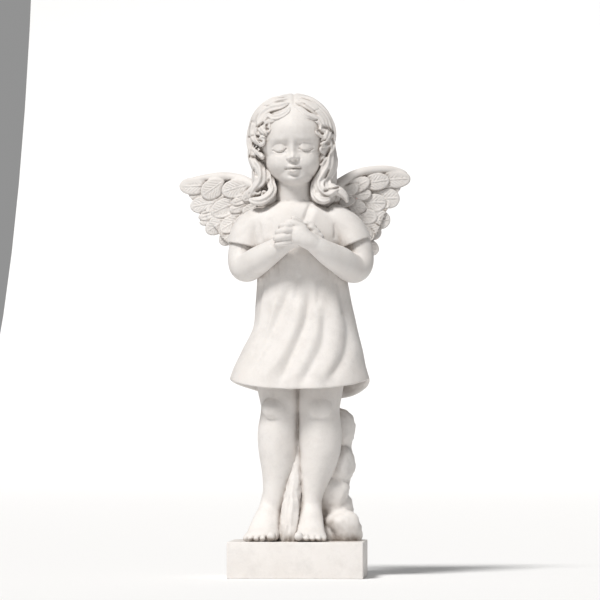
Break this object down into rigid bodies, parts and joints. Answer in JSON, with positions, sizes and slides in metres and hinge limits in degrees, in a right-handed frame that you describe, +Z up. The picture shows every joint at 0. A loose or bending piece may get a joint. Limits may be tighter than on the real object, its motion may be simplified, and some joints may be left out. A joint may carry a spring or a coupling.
{
  "type": "angel statue",
  "caption": "White stone child angel with folded hands and spread wings, standing before a rock on a plain rectangular plinth.",
  "frame": {"origin": "centre of the plinth's underside", "axes": "+Z up, -Y the way the figure faces, +X to the right as one faces the figure"},
  "size_m": [0.3838, 0.2252, 0.7998],
  "materials": {
    "white_stone": "matt, fine-grained white cast marble"
  },
  "bodies": {
    "root": {"angel_statue": "white_stone"}
  },
  "joints": []
}
